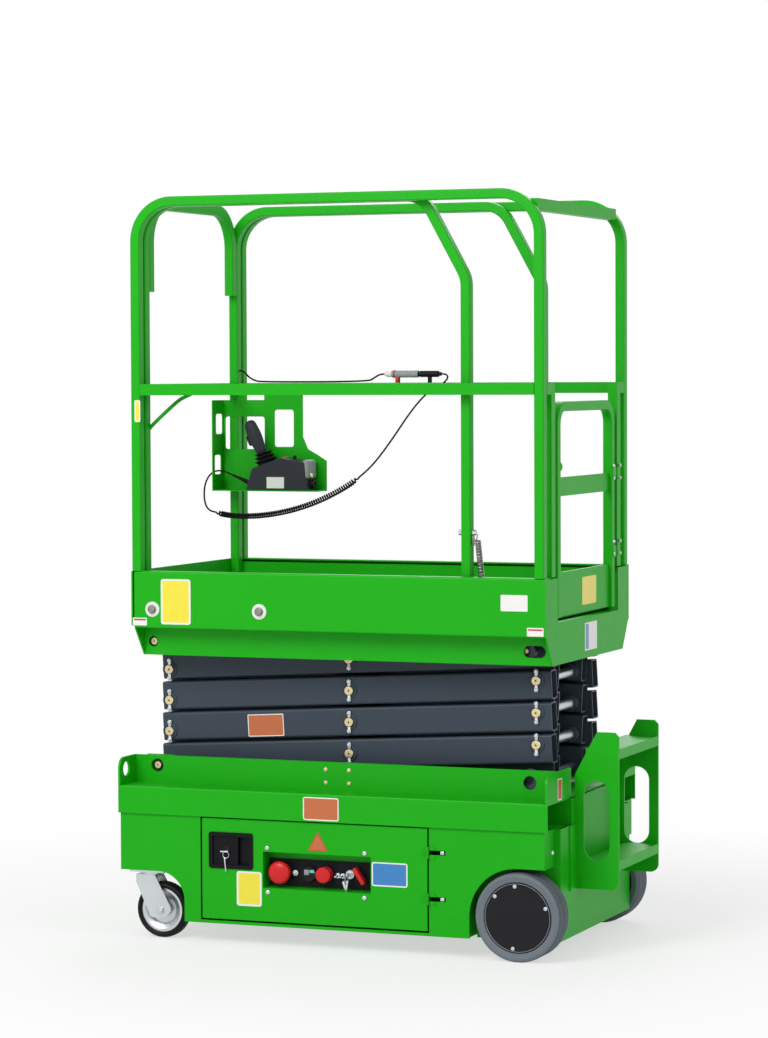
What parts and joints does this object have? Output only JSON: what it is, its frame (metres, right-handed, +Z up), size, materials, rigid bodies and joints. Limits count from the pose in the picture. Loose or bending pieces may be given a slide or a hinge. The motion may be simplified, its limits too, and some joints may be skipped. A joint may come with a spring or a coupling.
{
  "type": "scissor lift",
  "caption": "Compact self-propelled electric scissor lift, stowed, with a guard-railed platform, roll-out deck extension and boarding steps.",
  "frame": {"origin": "on the ground, under the centre of the whole machine's bounding box", "axes": "+X towards the boarding steps and drive wheels, -Y the side with the ground controls, +Z up"},
  "size_m": [1.3624, 0.76, 1.983],
  "materials": {
    "arm_paint": "slate grey paint",
    "bare_steel": "machined steel",
    "black_plastic": "textured black plastic",
    "black_tyre": "black rubber",
    "chrome_rod": "hard chrome",
    "cord_rubber": "satin black cord sheath",
    "green_paint": "bright green powder coat",
    "grey_tyre": "non-marking grey rubber",
    "zinc_steel": "zinc plated"
  },
  "bodies": {
    "chassis": {"chassis_deck": "green_paint", "chassis_tray": "green_paint", "skirt_near": "green_paint", "skirt_far": "green_paint", "chassis_frame": "green_paint", "rear_beam": "green_paint", "drive_units": "zinc_steel", "battery": "black_plastic", "hydraulic_unit": "bare_steel", "rear_steps": "green_paint", "caster_plates": "zinc_steel"},
    "door_near": {"door_near": "green_paint", "latch_near": "black_plastic", "ground_controls": "black_plastic"},
    "door_far": {"door_far": "green_paint", "latch_far": "black_plastic"},
    "drive_wheel_near": {"drive_tyre_near": "grey_tyre", "drive_hub_near": "black_plastic"},
    "caster_near": {"caster_fork_near": "zinc_steel"},
    "caster_wheel_near": {"caster_wheel_near": "black_tyre", "caster_rim_near": "zinc_steel"},
    "drive_wheel_far": {"drive_tyre_far": "grey_tyre", "drive_hub_far": "black_plastic"},
    "caster_far": {"caster_fork_far": "zinc_steel"},
    "caster_wheel_far": {"caster_wheel_far": "black_tyre", "caster_rim_far": "zinc_steel"},
    "outer_1": {"outer_arms_1": "arm_paint"},
    "inner_1": {"inner_arms_1": "arm_paint"},
    "outer_2": {"outer_arms_2": "arm_paint"},
    "inner_2": {"inner_arms_2": "arm_paint"},
    "outer_3": {"outer_arms_3": "arm_paint"},
    "inner_3": {"inner_arms_3": "arm_paint"},
    "outer_4": {"outer_arms_4": "arm_paint"},
    "inner_4": {"inner_arms_4": "arm_paint"},
    "lift_barrel": {"cylinder_barrel": "arm_paint"},
    "lift_rod": {"cylinder_rod": "chrome_rod"},
    "platform": {"platform_deck": "green_paint", "toe_boards": "green_paint", "side_rail_near": "green_paint", "side_rail_far": "green_paint", "rear_rail": "green_paint"},
    "gate": {"gate": "green_paint"},
    "extension": {"extension_deck": "green_paint", "extension_rail_near": "green_paint", "extension_rail_far": "green_paint", "front_rail": "green_paint", "control_bracket": "green_paint", "control_box": "black_plastic", "joystick": "black_plastic", "cord_fittings": "black_plastic", "control_lead": "cord_rubber", "control_coil": "cord_rubber", "rail_cable": "cord_rubber"}
  },
  "joints": [
    {"name": "lift", "type": "hinge", "parent": "chassis", "child": "outer_1", "pos_m": [-0.6005, 0, 0.457], "axis": [0, -1, 0], "range_deg": [0, 48]},
    {"name": "cross_1", "type": "hinge", "parent": "outer_1", "child": "inner_1", "pos_m": [-0.07417, 0, 0.499], "axis": [0, -1, 0], "range_deg": [-96.02, 0]},
    {"name": "joint_1", "type": "hinge", "parent": "inner_1", "child": "outer_2", "pos_m": [-0.6005, 0, 0.541], "axis": [0, -1, 0], "range_deg": [0, 96.02]},
    {"name": "cross_2", "type": "hinge", "parent": "outer_2", "child": "inner_2", "pos_m": [-0.07417, 0, 0.583], "axis": [0, -1, 0], "range_deg": [-96.02, 0]},
    {"name": "joint_2", "type": "hinge", "parent": "inner_2", "child": "outer_3", "pos_m": [-0.6005, 0, 0.625], "axis": [0, -1, 0], "range_deg": [0, 96.02]},
    {"name": "cross_3", "type": "hinge", "parent": "outer_3", "child": "inner_3", "pos_m": [-0.07417, 0, 0.667], "axis": [0, -1, 0], "range_deg": [-96.02, 0]},
    {"name": "joint_3", "type": "hinge", "parent": "inner_3", "child": "outer_4", "pos_m": [-0.6005, 0, 0.709], "axis": [0, -1, 0], "range_deg": [0, 96.02]},
    {"name": "cross_4", "type": "hinge", "parent": "outer_4", "child": "inner_4", "pos_m": [-0.07417, 0, 0.751], "axis": [0, -1, 0], "range_deg": [-96.02, 0]},
    {"name": "platform_pin", "type": "hinge", "parent": "inner_4", "child": "platform", "pos_m": [-0.6005, 0, 0.793], "axis": [0, -1, 0], "range_deg": [0, 48.02]},
    {"name": "barrel_pin", "type": "hinge", "parent": "inner_1", "child": "lift_barrel", "pos_m": [-0.43805, 0, 0.48992], "axis": [0, -1, 0], "range_deg": [0, 108.05]},
    {"name": "rod_slide", "type": "slide", "parent": "lift_barrel", "child": "lift_rod", "axis": [0.9924, 0, 0.1228], "range_m": [0, 0.3953]},
    {"name": "extension_slide", "type": "slide", "parent": "platform", "child": "extension", "axis": [-1, 0, 0], "range_m": [0, 0.6]},
    {"name": "gate_swing", "type": "hinge", "parent": "platform", "child": "gate", "pos_m": [0.5075, 0.251, 1.1], "axis": [0, 0, -1], "range_deg": [0, 90]},
    {"name": "door_near_swing", "type": "hinge", "parent": "chassis", "child": "door_near", "pos_m": [0.215, -0.3745, 0.2], "axis": [0, 0, 1], "range_deg": [0, 100]},
    {"name": "door_far_swing", "type": "hinge", "parent": "chassis", "child": "door_far", "pos_m": [0.215, 0.3745, 0.2], "axis": [0, 0, -1], "range_deg": [0, 100]},
    {"name": "drive_near", "type": "hinge", "parent": "chassis", "child": "drive_wheel_near", "pos_m": [0.4615, -0.34, 0.115], "axis": [0, 1, 0], "continuous": true},
    {"name": "swivel_near", "type": "hinge", "parent": "chassis", "child": "caster_near", "pos_m": [-0.5935, -0.322, 0.16], "axis": [0, 0, 1], "continuous": true},
    {"name": "caster_roll_near", "type": "hinge", "parent": "caster_near", "child": "caster_wheel_near", "pos_m": [-0.5615, -0.322, 0.075], "axis": [0, 1, 0], "continuous": true},
    {"name": "drive_far", "type": "hinge", "parent": "chassis", "child": "drive_wheel_far", "pos_m": [0.4615, 0.34, 0.115], "axis": [0, 1, 0], "continuous": true},
    {"name": "swivel_far", "type": "hinge", "parent": "chassis", "child": "caster_far", "pos_m": [-0.5935, 0.322, 0.16], "axis": [0, 0, 1], "continuous": true},
    {"name": "caster_roll_far", "type": "hinge", "parent": "caster_far", "child": "caster_wheel_far", "pos_m": [-0.5615, 0.322, 0.075], "axis": [0, 1, 0], "continuous": true}
  ],
  "couplings": [
    {"joint": "cross_1", "follows": "lift", "ratio": -2},
    {"joint": "joint_1", "follows": "lift", "ratio": 2},
    {"joint": "cross_2", "follows": "lift", "ratio": -2},
    {"joint": "joint_2", "follows": "lift", "ratio": 2},
    {"joint": "cross_3", "follows": "lift", "ratio": -2},
    {"joint": "joint_3", "follows": "lift", "ratio": 2},
    {"joint": "cross_4", "follows": "lift", "ratio": -2},
    {"joint": "platform_pin", "follows": "lift", "ratio": 1},
    {"joint": "barrel_pin", "follows": "lift", "ratio": 2.25},
    {"joint": "rod_slide", "follows": "lift", "m_per_rad": 0.47062}
  ]
}
